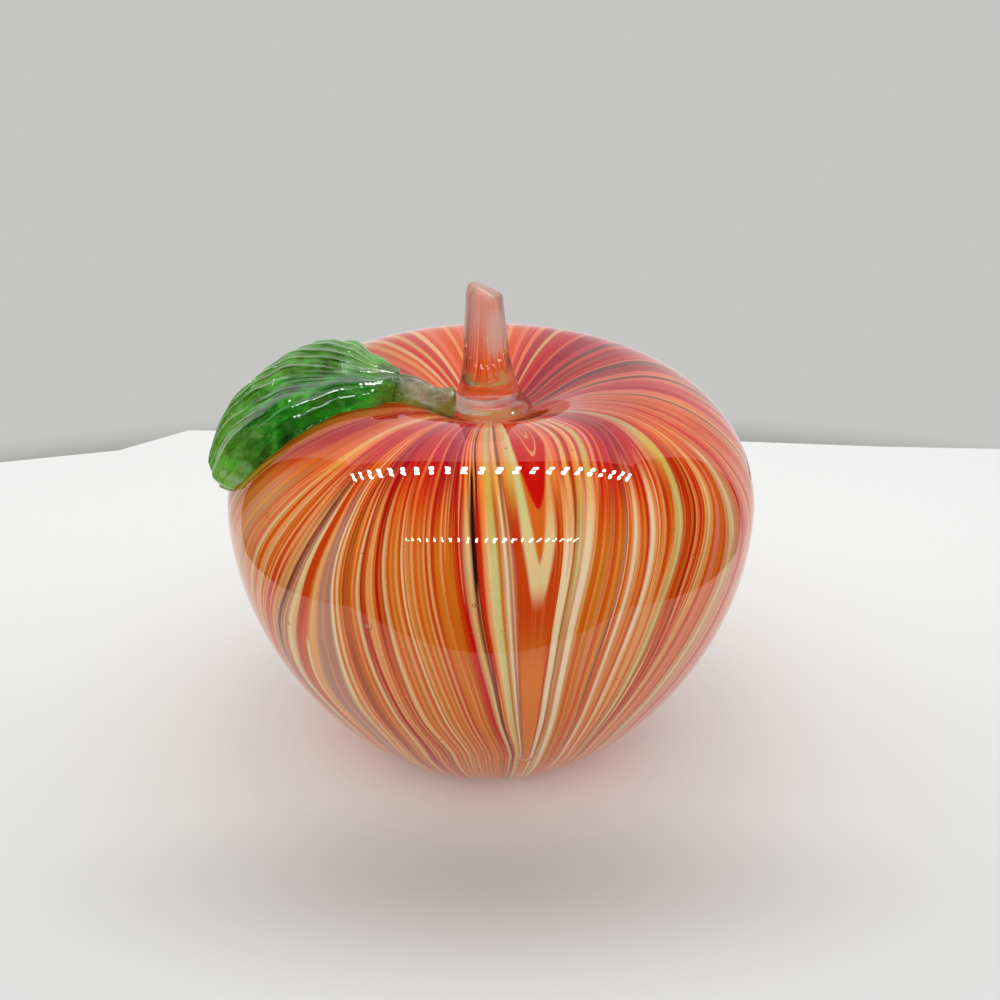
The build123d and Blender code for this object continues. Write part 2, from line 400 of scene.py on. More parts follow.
# The canes as they lie at half the outline's length: each starts at its angle from the front,
# in degrees towards +X, and ends where the next one starts
front_canes = (
    (-96, "salmon"), (-93, "pale"), (-90, "orange"), (-86, "peach"), (-84, "salmon"), (-82, "rust"),
    (-78.5, "peach"), (-77, "orange"), (-73, "pale"), (-71.5, "salmon"), (-70, "peach"), (-68.6, "pink"),
    (-67, "peach"), (-65, "tan"), (-62.5, "salmon"), (-60.8, "peach"), (-60.2, "salmon"), (-57.8, "cream"),
    (-57.1, "orange"), (-53.6, "cream"), (-52.8, "orange"), (-50.5, "scarlet"), (-47.4, "peach"),
    (-46.4, "plum"), (-43.4, "mauve"), (-42.6, "cream"), (-40.7, "rust"), (-39.8, "orange"),
    (-38.4, "peach"), (-36.7, "mauve"), (-33.6, "cream"), (-33.0, "orange"), (-32.4, "cream"),
    (-31.9, "orange"), (-30.6, "umber"), (-29.5, "amber"), (-28.5, "pale"), (-28.15, "orange"),
    (-27.5, "cream"), (-26.95, "brick"), (-25.1, "rust"), (-24.4, "peach"), (-23.6, "orange"),
    (-23.1, "brick"), (-20.9, "cream"), (-20.2, "orange"), (-19.3, "pale"), (-19.0, "amber"),
    (-18.2, "peach"), (-17.7, "orange"), (-16.9, "cream"), (-16.4, "orange"), (-16.1, "peach"),
    (-15.7, "amber"), (-14.7, "peach"), (-14.3, "orange"), (-13.3, "pale"), (-12.9, "amber"),
    (-12.1, "peach"), (-11.8, "rust"), (-10.9, "peach"), (-10.5, "rust"), (-9.4, "amber"), (-8.4, "pale"),
    (-8.1, "orange"), (-7.2, "amber"), (-6.0, "rust"), (-5.0, "red"), (-3.8, "tan"), (-3.5, "cream"),
    (-2.5, "soot"), (-1.3, "scarlet"), (-0.3, "peach"), (0.5, "cream"), (1.1, "lime"), (2.4, "amber"),
    (2.8, "tan"), (3.3, "cream"), (3.9, "mauve"), (5.0, "rust"), (12.3, "cream"), (13.1, "white"),
    (13.9, "umber"), (14.15, "lime"), (15.2, "tan"), (15.5, "white"), (17.2, "peach"), (17.9, "amber"),
    (18.7, "orange"), (19.4, "pale"), (19.8, "amber"), (21.2, "rust"), (22.3, "orange"), (23.2, "pale"),
    (23.5, "amber"), (24.5, "mauve"), (24.9, "orange"), (26.7, "white"), (27.7, "peach"), (28.3, "orange"),
    (29.4, "pale"), (29.7, "rust"), (30.8, "white"), (32.0, "peach"), (32.4, "orange"), (33.4, "pale"),
    (33.9, "rust"), (35.4, "orange"), (36.3, "lime"), (38.2, "rust"), (40.2, "brick"), (42.6, "pale"),
    (43.2, "scarlet"),
    (44.8, "orange"), (46.0, "cream"), (47.2, "peach"), (48.4, "orange"), (50.6, "salmon"),
    (53.0, "orange"), (56.5, "tan"), (58.8, "cream"), (60.0, "tan"), (63.5, "salmon"),
    (65.5, "scarlet"), (68.5, "salmon"), (71.0, "peach"), (72.0, "scarlet"), (75.5, "salmon"),
    (77.5, "orange"), (80.5, "rust"), (83.0, "peach"), (84.0, "plum"), (85.6, "pale"),
    (87.5, "scarlet"), (91.5, "pale"), (93.0, "rose"), (97.5, "cream"), (98.3, "grey"),
    (101.5, "orange"), (104.5, "plum"), (107.0, "rose"),
)
# Round the crown the red canes spread and the others close up between them: glasses there, by
# the same angles
crown_canes = (
    (-179, "orange"), (-176, "salmon"), (-173, "orange"), (-170, "salmon"), (-167, "orange"),
    (-164.5, "peach"), (-163, "orange"), (-158.5, "salmon"), (-156, "orange"), (-153.6, "cream"),
    (-151, "crimson"), (-148, "orange"), (-146.6, "lime"), (-145.2, "orange"), (-143.8, "scarlet"),
    (-141, "cream"), (-138.5, "orange"), (-136, "peach"), (-133, "orange"), (-130, "salmon"),
    (-126, "scarlet"), (-122, "peach"), (-118, "orange"), (-112, "crimson"), (-106, "salmon"),
    (-100, "orange"), (-94, "peach"), (-88, "rust"), (-82, "salmon"), (-76, "crimson"), (-68, "orange"),
    (-64, "salmon"), (-60, "cream"), (-57, "peach"), (-54.5, "salmon"), (-52.5, "crimson"),
    (-46.6, "rose"), (-45.6, "crimson"), (-38.8, "salmon"), (-36, "orange"), (-35, "peach"),
    (-34.3, "scarlet"), (-33.5, "peach"), (-32.7, "orange"), (-31.4, "salmon"), (-30, "wine"),
    (-21.5, "crimson"), (-14.7, "salmon"), (-14.1, "crimson"), (-10.6, "salmon"), (-10.3, "wine"),
    (-4.7, "salmon"), (-4.2, "crimson"), (-3.6, "peach"), (-3.0, "rust"), (-2.5, "cream"),
    (-2.0, "crimson"), (-1.7, "peach"), (-1.2, "black"), (-0.8, "salmon"), (-0.4, "peach"),
    (0.9, "lime"), (2.4, "tan"), (3.0, "cream"), (4.1, "plum"), (5.0, "peach"), (5.5, "lime"),
    (6.3, "cream"), (6.7, "scarlet"), (9.4, "peach"), (9.8, "wine"), (11.5, "peach"), (12.0, "salmon"),
    (12.6, "crimson"), (13.1, "cream"), (13.8, "umber"), (14.1, "crimson"), (14.4, "peach"),
    (15.0, "cream"), (15.3, "crimson"), (15.8, "lime"), (16.8, "rust"), (17.4, "pink"), (18.6, "crimson"),
    (20.2, "salmon"), (20.6, "crimson"), (22.6, "rose"), (23.0, "wine"), (29.0, "crimson"), (33.5, "tan"),
    (35.3, "lime"), (38.2, "rust"), (40.2, "orange"), (43.0, "peach"), (44.0, "salmon"), (46.0, "cream"),
    (46.9, "orange"), (50.0, "pale"), (51.0, "orange"), (55.0, "salmon"), (58.0, "peach"), (59.0, "orange"),
    (63.0, "pale"), (64.0, "scarlet"), (68.0, "salmon"), (70.0, "orange"), (73.0, "peach"), (74.0, "rust"),
    (78.0, "pale"), (79.0, "orange"), (82.0, "salmon"), (84.8, "grey"), (86.0, "peach"), (87.0, "salmon"),
    (90.0, "crimson"), (95.0, "rose"), (98.6, "salmon"), (100.6, "grey"), (102.8, "peach"),
    (103.8, "salmon"), (107.0, "wine"), (113.2, "grey"), (117.2, "salmon"), (118.4, "crimson"),
    (124.0, "wine"), (130.0, "rose"), (132.6, "plum"), (136.0, "rose"), (139.0, "wine"), (146.0, "salmon"),
    (147.4, "crimson"), (155.0, "lime"), (156.3, "wine"), (161.0, "salmon"), (163.0, "crimson"),
    (166.0, "salmon"), (168.0, "orange"), (172.0, "peach"), (173.5, "scarlet"), (178.0, "orange"),
)
# Behind, the canes go on in the same glasses, in an order drawn once
back_glasses = ("orange", "scarlet", "peach", "rose", "cream", "amber", "rust", "salmon", "plum",
                "orange", "lime", "red", "white", "orange", "tan")
back_seed = 11
back_start = 111.0
back_narrowest = 0.9
back_widest = 5.2

# How the canes drift: for a cane at half the outline's length, its angles at these shares
# of the outline, from the dimple down
drift_shares = (0.9, 0.8, 0.7, 0.6, 0.5, 0.4, 0.3, 0.2)
drift_angles = (
    (-180.0, (-180, -180, -180, -180, -180, -180, -180, -180)),
    (-150.0, (-147, -147, -148, -149, -150, -150.5, -150.5, -150)),
    (-120.0, (-112, -112, -113, -116, -120, -122.5, -123, -122)),
    (-90.0, (-68, -70, -74, -81, -90, -95.5, -96.5, -93.5)),
    (-75.0, (-50, -52, -58.5, -66, -75, -80.5, -81, -76)),
    (-60.0, (-38, -40, -45, -52.5, -60, -65.5, -66, -58)),
    (-44.0, (-30, -32, -36, -38.8, -44, -51, -53, -45)),
    (-36.5, (-28, -29.3, -33.6, -34.5, -36.5, -38.5, -39, -34)),
    (-33.0, (-26.5, -28, -31.5, -32.7, -33, -32.5, -31, -27.5)),
    (-27.0, (-24, -25.5, -27.8, -27.5, -27, -25, -22, -18.5)),
    (-21.5, (-21, -23, -24.6, -23.7, -21.5, -19, -16, -11)),
    (-15.0, (-17, -19, -19.5, -17.6, -15, -11.5, -8, -4)),
    (-6.5, (-9, -11, -10.3, -9, -6.5, -3.5, -0.5, 3.2)),
    (-1.5, (-5, -6.5, -4.6, -3, -1.5, 0.8, 3, 6)),
    (4.8, (1, 1.8, 3, 4.2, 4.8, 5.6, 6.8, 8.4)),
    (12.5, (20, 22, 18.5, 15.5, 12.5, 11.2, 10.8, 10.4)),
    (17.0, (32, 35, 28.5, 22, 17, 15, 14.4, 14)),
    (24.5, (41, 43.5, 36.5, 30, 24.5, 21, 19.5, 18.6)),
    (31.0, (46, 48, 43, 37, 31, 26.5, 24, 22.5)),
    (37.0, (51, 53.5, 52, 45.5, 37, 32, 28.5, 26)),
    (41.0, (54, 56, 56, 50.5, 41, 36, 31.5, 28)),
    (47.5, (57, 59, 60, 57.5, 47.5, 39.5, 33.5, 29.5)),
    (60.0, (63, 63, 64, 64, 60, 51, 43, 37)),
    (75.0, (70, 69, 71, 73.5, 75, 66, 57, 48)),
    (85.0, (79, 77.5, 80, 82, 85, 78, 70, 60)),
    (100.0, (90, 94, 97, 98.5, 100, 97, 91, 82)),
    (130.0, (124, 125, 127, 129, 130, 129, 126.5, 122)),
    (180.0, (180, 180, 180, 180, 180, 180, 180, 180)),
)
# Below the last row the canes run straight, seen from above, to the pinch under the base
pinch_angle = 12.0
pinch_radius = 8.0 * mm


def smooth_through(places, values, at):
    """A smooth curve through values at rising places, read at one place."""
    index = min(max(int(np.searchsorted(places, at)) - 1, 0), len(places) - 2)
    low, high = places[index], places[index + 1]
    before = values[max(index - 1, 0)]
    after = values[min(index + 2, len(values) - 1)]
    way = min(max((at - low) / (high - low), 0.0), 1.0)
    first, last = values[index], values[index + 1]
    return 0.5 * (2 * first + (last - before) * way
                  + (2 * before - 5 * first + 4 * last - after) * way ** 2
                  + (3 * first - before - 3 * last + after) * way ** 3)


rising_shares = np.array(drift_shares[::-1])
cane_lies = np.array([lie for lie, angles in drift_angles])
cane_angles = np.array([angles[::-1] for lie, angles in drift_angles], float)
lowest_share = rising_shares[0]
lowest_radius = float(np.interp(lowest_share, run_share, outer_wall[:, 0]))
pinch = pinch_radius * np.array([math.sin(math.radians(pinch_angle)), math.cos(math.radians(pinch_angle))])


def cane_row(angles, share, radius):
    """Which canes lie at these angles at one share of the outline, by their angles at half the length."""
    if share < lowest_share:
        turns = np.radians(angles)
        here = radius * np.stack([np.sin(turns), np.cos(turns)], 1)
        way = here - pinch
        way /= np.maximum(np.linalg.norm(way, axis=1), tiny)[:, None]
        toward = way @ pinch
        along = np.sqrt(np.maximum(toward ** 2 + lowest_radius ** 2 - pinch @ pinch, 0.0)) - toward
        there = pinch + way * along[:, None]
        angles = np.degrees(np.arctan2(there[:, 0], there[:, 1]))
    reached = [smooth_through(rising_shares, row, share) for row in cane_angles]
    return np.interp(angles, reached, cane_lies)


# Canes: one striped layer under the casing

def make_canes():
    """The layer of canes, each corner marked with the cane that lies there and its share of the outline."""
    outer = wall_outline(casing_wall - cane_lap)
    inner = wall_outline(casing_wall + cane_thickness)
    columns = round_columns
    angles = np.degrees(smooth_turn[:-1])
    lies = np.array([cane_row(angles, run_share[row], outer_wall[row, 0]) for row in range(len(outer))])
    points, faces = revolved(outer)
    inner_points, inner_faces = revolved(inner, flip=True)
    marks = []
    for face in faces:
        corners = []
        for vertex in face:
            if vertex == 0:
                row, column = 0, None
            elif vertex == len(points) - 1:
                row, column = len(outer) - 1, None
            else:
                row, column = 1 + (vertex - 1) // columns, (vertex - 1) % columns
            corners.append((row, column))
        known = [lies[row, column] for row, column in corners if column is not None]
        base = known[0]
        known = [lie + full_turn * round((base - lie) / full_turn) for lie in known]
        middle = sum(known) / len(known)
        uv = []
        for row, column in corners:
            lie = middle if column is None else lies[row, column]
            lie += full_turn * round((base - lie) / full_turn)
            uv.append((lie / full_turn + 0.5, run_share[row]))
        marks.append(uv)
    shift = len(points)
    faces = faces + [tuple(vertex + shift for vertex in face) for face in inner_faces]
    marks += [[(0.0, 0.0)] * len(face) for face in inner_faces]
    return make_piece("colour_canes", points + inner_points, faces, marks)


def in_turns(rows):
    """Canes with their starts in turns from 0 to 1, in order round the apple."""
    return sorted(((start / full_turn + 0.5) % 1.0, glass) for start, glass in rows)


def all_canes():
    """Every cane of the body, the listed ones in front and the drawn ones behind."""
    rows = list(front_canes)
    draw = random.Random(back_seed)
    angle = back_start
    index = 0
    while angle < full_turn + front_canes[0][0] - back_widest:
        rows.append((angle, back_glasses[(index + draw.randrange(3)) % len(back_glasses)]))
        angle += draw.uniform(back_narrowest, back_widest) * draw.uniform(0.5, 1.0)
        index += 1
    return in_turns(rows)


# How much a cane wanders to the side, in degrees, and how often round the apple and along it
wander_angle = 0.9
wander_round = 40.0
wander_along = 3.0
# The crown: at which shares of the outline the canes deepen and the crown's own colours start
deep_gamma = 1.75
deep_shade = (1.3, 1.15, 1.2, 1.0)
deep_shares = (0.57, 0.68)
crown_shares = (0.62, 0.73)
crown_shade_shares = (0.7, 0.77)
crown_low_shade = (1.06, 0.75, 0.3, 1.0)
crown_high_shade = (1.03, 0.72, 0.78, 1.0)
# The right side of the crown is darker, between these lies and from these shares up
right_shade = (0.77, 0.64, 0.66, 1.0)
right_lies = ((18.0, 24.0), (140.0, 160.0))
right_shade_shares = (0.7, 0.8)
# The folded cane in front: where its pale V and its red wedge lie, and the plain glass round it
fold_lie = 8.9
red_fold_lie = 9.2
plain_lies = ((5.0, 5.8), (11.4, 12.0))
# The tan glass of the neck starts at these shares
neck_shares = (0.962, 0.97)
# Painted green light from the leaf on the canes, from its front to its back edge, as far right and down as it
# reaches
leaf_light_painted_span = ((-30 * mm, -20 * mm), (22 * mm, 28 * mm))
leaf_light_painted_right = (-28 * mm, -12 * mm)
leaf_light_painted_low = (62 * mm, 70 * mm)
# A shade, how it is laid, where on the noise it starts and is full, its strength, and how many go round
thread_kinds = (
    (paint(216, 116, 30), "MIX", 0.5, 0.6, 0.6, 260.0),
    (paint(206, 116, 96), "MULTIPLY", 0.52, 0.6, 0.17, 330.0),
    (paint(236, 168, 100), "MIX", 0.55, 0.62, 0.75, 420.0),
    (paint(188, 40, 6), "MIX", 0.58, 0.66, 0.5, 300.0),
    (paint(242, 200, 144), "MIX", 0.62, 0.68, 0.8, 520.0),
)
# Where a thread lies, half its width, its lowest and highest share of the outline, its glass, its strength
single_threads = (
    (-1.95, 0.5, 0.53, 0.74, "black", 1.0), (-1.75, 0.12, 0.4, 0.56, "tan", 0.5),
    (3.7, 0.25, 0.2, 0.7, "white", 0.7), (13.0, 0.5, 0.15, 0.62, "white", 0.8),
    (16.4, 0.8, 0.15, 0.6, "white", 0.75), (-33.3, 0.3, 0.3, 0.8, "white", 0.8),
    (-38.5, 0.35, 0.2, 0.42, "white", 0.8), (60.5, 0.5, 0.5, 0.68, "white", 0.9),
    (24.8, 0.3, 0.2, 0.5, "plum", 0.8),
)
cane_edge = 0.4 / full_turn
canes_per_ramp = 15


def stripe_colour(finish, turn, canes):
    """The colour of the cane at a place round the apple, from a chain of ramps."""
    if canes[0][0] > 0:
        canes = [(0.0, canes[-1][1])] + canes
    colour = None
    for first in range(0, len(canes), canes_per_ramp):
        group = canes[first:first + canes_per_ramp]
        start = group[0][0]
        end = canes[first + canes_per_ramp][0] if first + canes_per_ramp < len(canes) else 1.0
        stops = []
        for index, (place, glass) in enumerate(group):
            after = group[index + 1][0] if index + 1 < len(group) else end
            soft = min(cane_edge, (after - place) * 0.3)
            for edge in (place + soft, after - soft):
                stops.append(((edge - start) / (end - start), glass_colours[glass]))
        within = (turn - start) / (end - start)
        ramp = finish.add("ShaderNodeValToRGB", {"stops": stops}, {"Fac": within})
        colour = ramp if colour is None else finish.blend(turn > start, colour, ramp)
    return colour


def cane_material():
    """Coloured glass canes, fused edge to edge, with the fine threads of drawn glass."""
    finish = Finish("drawn_cane_glass")
    turn, share = finish.parts(finish.place("UV"))[:2]
    turn = turn.maths("FRACT", turn)
    lie = turn * full_turn - 0.5 * full_turn
    wander = finish.noise(finish.vector(turn * wander_round, share * wander_along), 1.0, 2.0)
    turn_here = turn + (wander - 0.5) * (wander_angle / full_turn)
    colour = stripe_colour(finish, turn_here, all_canes())
    # The canes are thicker and deeper in colour at the top
    deep = finish.add("ShaderNodeGamma", None, {"Color": colour, "Gamma": deep_gamma})
    deep = finish.blend(1.0, deep, deep_shade, "MULTIPLY")
    colour = finish.blend(share.rise(*deep_shares), colour, deep)
    crown = share.rise(*crown_shares)
    crown_colour = stripe_colour(finish, turn_here, in_turns(crown_canes))
    crown_shade = finish.blend(share.rise(*crown_shade_shares), crown_low_shade, crown_high_shade)
    crown_colour = finish.blend(1.0, crown_colour, crown_shade, "MULTIPLY")
    right_side = lie.within(*right_lies) * share.rise(*right_shade_shares)
    crown_colour = finish.blend(right_side, crown_colour, right_shade, "MULTIPLY")
    colour = finish.blend(crown, colour, crown_colour)
    # Fine threads that run with the canes, pale and dark, but few in the plain glass below the fold
    plain = lie.within(*plain_lies)
    for seed, (shade, mode, low, high, strength, round_count) in enumerate(thread_kinds):
        thread = finish.noise(finish.vector(turn * round_count, share * 1.7, seed * 7.3), 1.0, 2.0, 0.45)
        gathered = finish.noise(finish.vector(turn * 46.0, share * 1.2, 40.0 + seed), 1.0, 1.0)
        factor = thread.rise(low, high) * gathered.rise(0.38, 0.6) * (1 - plain * 0.85)
        factor = factor * (1 - crown * 0.75) * strength
        colour = finish.blend(factor, colour, shade, mode)
    # A folded cane in front: a pale V, with nested wedges of gold and red over it, and two pale
    # lines along the rims of the folds at its top

    def wedge(middle, apex, spread, reach, widest, soft, sharp=-0.2):
        """1 inside a wedge that opens upwards from its apex, by its lie, shares and reach in degrees."""
        width = ((share - apex) / spread).at_least(0.0).at_most(widest) ** 0.5 * reach
        return (width - (lie - middle).size()).rise(soft * sharp, soft)

    below = 1 - share.rise(0.38, 0.52)
    colour = finish.blend(plain * below, colour, paint(222, 118, 34))
    right_arm = lie.rise(fold_lie - 0.4, fold_lie + 0.8)
    arms = finish.blend(right_arm, glass_colours["lime"], glass_colours["peach"])
    arms = finish.blend(1 - share.rise(0.6, 0.68), arms, glass_colours["cream"])
    # Each wedge's middle, apex, spread, reach, widest part and softness, then its strength and shade
    for fold, strength, shade in (
            ((fold_lie, 0.495, 0.09, 2.3, 1.35, 0.6), share.rise(0.505, 0.555), arms),
            ((fold_lie + 0.05, 0.575, 0.1, 1.6, 1.9, 0.5), 1.0, paint(212, 100, 26)),
            ((red_fold_lie, 0.655, 0.1, 2.25, 1.2, 0.35), 1.0, glass_colours["red"]),
            ((red_fold_lie, 0.7, 0.1, 1.5, 1.6, 0.9), 0.6, paint(206, 50, 22))):
        colour = finish.blend(wedge(*fold) * strength, colour, shade)
    for fold_share, fold_reach in ((0.748, 1.6), (0.79, 1.1)):
        outer_fold, inner_fold = (wedge(red_fold_lie + 0.3, apex, 0.1, fold_reach, 1.2, 0.12)
                                  for apex in (fold_share, fold_share + 0.009))
        rim_line = (outer_fold - inner_fold).at_least(0.0)
        colour = finish.blend(rim_line * 0.8, colour, glass_colours["peach"])
    # Single threads, listed one by one
    for thread_lie, width, low, high, glass, strength in single_threads:
        near = 1 - (lie - thread_lie).size().rise(width * 0.35, width)
        reach = share.within((low, low + 0.03), (high - 0.03, high))
        colour = finish.blend(near * reach * strength, colour, glass_colours[glass])
    # The dark wedge that ends in a point low on the left
    left_wedge = wedge(-39.9, 0.405, 0.12, 1.2, 1.4, 0.3, -1 / 6)
    colour = finish.blend(left_wedge, colour, glass_colours["rust"])
    # Painted light: the green light the leaf casts on the canes in front of it, painted into their colour
    x, y, z = finish.parts(finish.place())
    painted_leaf_light = y.within(*leaf_light_painted_span) * (1 - x.rise(*leaf_light_painted_right)) * z.rise(*leaf_light_painted_low)
    colour = finish.blend(painted_leaf_light * 0.75, colour, paint(214, 214, 120), "MULTIPLY")
    # The tan glass of the neck, under the foot of the stem
    colour = finish.blend(share.rise(*neck_shares), colour, paint(178, 140, 80))
    shader = finish.add("ShaderNodeBsdfPrincipled", None,
                        {"Base Color": colour, "Roughness": 0.5, "Specular IOR Level": 0.0})
    return finish.surface(shader)


# Clear and green glass

def through_light(finish, glass, tint):
    """Glass that lets light pass to what lies in it, in its own tint."""
    return finish.mix_shaders(finish.ray("Is Shadow Ray", "Is Diffuse Ray"), glass, finish.clear(tint))


# Waves in the clear glass: how many to a metre, and their height
casing_waves = (26.0, 0.12 * mm)
stem_waves = (160.0, 0.1 * mm)
gather_waves = (40.0, 0.1 * mm)
# The casing falls this much more round the stem, between these distances from the middle
well_height = 1.7 * mm
well_reach = (2 * mm, 15.5 * mm)
# The stem's tint, with painted shade darker at its sides, and its milky spot, a painted highlight on its
# front: the middle across and up, half its width and height, and how far up the stem the rest turns a little
# milky
stem_tint = (0.94, 0.93, 0.88, 1.0)
stem_painted_edge_shade = (0.66, 0.6, 0.56, 1.0)
stem_painted_edge_shares = (0.62, 1.0)
painted_glint_x = 0.9 * mm
painted_glint_z = 98.4 * mm
painted_glint_half_width = 2.3 * mm
painted_glint_half_height = 5.6 * mm
veil_low = 12 * mm
veil_high = 22 * mm
painted_glint_share = 0.5
milky_share = 0.22


def clear_glass(name, waves, tint=white, well=0.0, is_stem=False):
    """Clear glass with slow waves in its surface and no face where it is fused to other glass."""
    finish = Finish(name)
    place = finish.place()
    x, y, z = finish.parts(place)
    scale, wave_height = waves
    height = finish.noise(place, scale, 1.0) * wave_height
    if well:
        radius = (x * x + y * y) ** 0.5
        height = height + radius.rise(*well_reach) * (z > belly_height) * well
    if is_stem:
        # Painted shade: darker towards its sides as seen from the front, standing in for the dark parts of
        # the room that the thick glass bends into view
        up = z.rise(dimple_height, dimple_height + stem_height)
        off_side = (x + up * stem_lean).size() / (column_radius - up * column_taper)
        tint = finish.blend(off_side.rise(*stem_painted_edge_shares), tint, stem_painted_edge_shade)
    glass = through_light(finish, finish.glass(tint, finish.bump(height)), (0.96, 0.96, 0.96, 1.0))
    if is_stem:
        # Painted highlight: a pale milky spot on the front face only, standing in for a pale reflection in
        # the stem
        off_x = (x - painted_glint_x) / painted_glint_half_width
        off_z = (z - painted_glint_z) / painted_glint_half_height
        painted_glint_spot = (1 - (off_x * off_x + off_z * off_z).rise(0.0, 1.6)) * (y < 0.0)
        high = z.rise(dimple_height + veil_low, dimple_height + veil_high)
        clouded = (painted_glint_spot * painted_glint_share).at_least(high * milky_share)
        glass = finish.mix_shaders(clouded, glass, finish.milk(paint(206, 200, 192), 0.2))
    open_share = finish.add("ShaderNodeAttribute", {"attribute_name": "fused"}, None, 2)
    return finish.surface(finish.mix_shaders(open_share, glass, finish.clear()))


seed_places = (
    # Angle from the front, share of the outline, diameter in mm, flatness
    (-24.3, 0.473, 1.5, 0.7), (-54.8, 0.57, 1.1, 0.8), (-40.7, 0.527, 0.5, 0.8),
    (-26.9, 0.575, 0.35, 1.0), (-18.0, 0.595, 0.4, 1.0), (-3.2, 0.525, 0.8, 0.5), (5.0, 0.76, 0.5, 1.0),
    (26.0, 0.74, 0.4, 1.0), (30.7, 0.75, 0.35, 1.0), (46.0, 0.638, 0.7, 0.9), (45.0, 0.537, 0.45, 1.0),
    (27.0, 0.375, 0.5, 0.8), (28.2, 0.335, 0.5, 0.8), (12.4, 0.343, 0.4, 1.0), (2.0, 0.487, 0.4, 1.0),
    (9.4, 0.19, 2.6, 0.25), (-46.0, 0.425, 0.9, 0.5), (34.0, 0.52, 0.35, 1.0), (-20.0, 0.34, 0.4, 1.0),
    (-12.0, 0.26, 0.5, 0.8), (60.0, 0.46, 0.4, 1.0), (100.0, 0.62, 0.7, 0.8), (140.0, 0.5, 0.9, 0.8),
    (172.0, 0.7, 0.6, 0.9), (-150.0, 0.55, 1.0, 0.7), (-120.0, 0.42, 0.6, 0.9), (-100.0, 0.66, 0.5, 1.0),
)
seed_depth = 1.3 * mm
seed_segments = 16
seed_rings = 10
under_foot_radius = 6.6 * mm
# The nodes that lay a round seed on every point, with that point's size and lean, and their links
seed_nodes = {
    "start": "NodeGroupInput", "ball": "GeometryNodeMeshUVSphere", "turn_in": "GeometryNodeFlipFaces",
    "seed_size": "GeometryNodeInputNamedAttribute", "seed_lean": "GeometryNodeInputNamedAttribute",
    "lay": "GeometryNodeInstanceOnPoints", "real": "GeometryNodeRealizeInstances",
    "smooth": "GeometryNodeSetShadeSmooth", "coat": "GeometryNodeSetMaterial", "end": "NodeGroupOutput",
}
seed_links = (
    ("start", "Rings", "ball", "Rings"), ("ball", "Mesh", "turn_in", "Mesh"),
    ("start", "Geometry", "lay", "Points"), ("turn_in", "Mesh", "lay", "Instance"),
    ("seed_size", "Attribute", "lay", "Scale"), ("seed_lean", "Attribute", "lay", "Rotation"),
    ("lay", "Instances", "real", "Geometry"), ("real", "Geometry", "smooth", "Geometry"),
    ("smooth", "Geometry", "coat", "Geometry"), ("coat", "Geometry", "end", "Geometry"),
)


def make_seeds():
    """Small air seeds in the casing, one shape laid on given points by a node tree."""
    points, sizes, leans = [], [], []
    for angle, share, width, flat in seed_places:
        points.append(tuple(body_place(angle, share, -seed_depth)))
        sizes.append((width * mm, width * mm, width * flat * mm))
        normal = body_place(angle, share, 1.0) - body_place(angle, share, 0.0)
        leans.append(tuple(normal.to_track_quat("Z", "Y").to_euler()))
    mesh = bpy.data.meshes.new("air_seeds")
    mesh.from_pydata(points, [], [])
    for name, rows in (("seed_size", sizes), ("seed_lean", leans)):
        mesh.attributes.new(name, "FLOAT_VECTOR", "POINT").data.foreach_set("vector", np.array(rows).ravel())
    piece = bpy.data.objects.new("air_seeds", mesh)
    bpy.context.scene.collection.objects.link(piece)
    return piece


def seed_tree(material):
    """Node tree that puts a round seed on every point, with that point's size and lean."""
    tree = bpy.data.node_groups.new("air_seed_layout", "GeometryNodeTree")
    tree.interface.new_socket("Geometry", in_out="INPUT", socket_type="NodeSocketGeometry")
    tree.interface.new_socket("Rings", in_out="INPUT", socket_type="NodeSocketInt")
    tree.interface.new_socket("Geometry", in_out="OUTPUT", socket_type="NodeSocketGeometry")
    nodes = {name: tree.nodes.new(kind) for name, kind in seed_nodes.items()}
    nodes["ball"].inputs["Segments"].default_value = seed_segments
    nodes["ball"].inputs["Radius"].default_value = 0.5
    for name in ("seed_size", "seed_lean"):
        nodes[name].data_type = "FLOAT_VECTOR"
        nodes[name].inputs["Name"].default_value = name
    nodes["coat"].inputs["Material"].default_value = material
    for giver, output, taker, taken in seed_links:
        tree.links.new(nodes[giver].outputs[output], nodes[taker].inputs[taken])
    return tree


def as_plain_mesh(piece, tree, values):
    """Run a node tree on a piece and keep the result as its plain mesh."""
    modifier = piece.modifiers.new("layout", "NODES")
    modifier.node_group = tree
    for item in tree.interface.items_tree:
        if item.item_type == "SOCKET" and item.in_out == "INPUT" and item.name in values:
            modifier[item.identifier] = values[item.name]
    graph = bpy.context.evaluated_depsgraph_get()
    made = bpy.data.meshes.new_from_object(piece.evaluated_get(graph))
    piece.modifiers.clear()
    made.name = piece.name
    piece.data = made
    return piece


def make_casing(material):
    """The clear casing: its outer face and, over the canes, its inner face, with the air seeds in it."""
    points, faces = revolved(outer_wall)
    inner_points, inner_faces = revolved(wall_outline(casing_wall), flip=True)
    shift = len(points)
    faces = faces + [tuple(vertex + shift for vertex in face) for face in inner_faces]
    fused = [float(math.hypot(x, y) < under_foot_radius and z > belly_height) for x, y, z in points]
    fused += [1.0] * len(inner_points)
    piece = make_piece("casing_glass", points + inner_points, faces, fused=fused)
    piece.data.materials.append(material)
    seeds = as_plain_mesh(make_seeds(), seed_tree(material), {"Rings": seed_rings})
    with bpy.context.temp_override(active_object=piece, object=piece, selected_objects=[piece, seeds],
                                   selected_editable_objects=[piece, seeds]):
        bpy.ops.object.join()
    return piece


# Stem

stem_height = 29.2 * mm
stem_lean = 1.35 * mm
column_radius = 5.1 * mm
column_taper = 1.4 * mm
foot_radius = 9.3 * mm
foot_height = 7.2 * mm
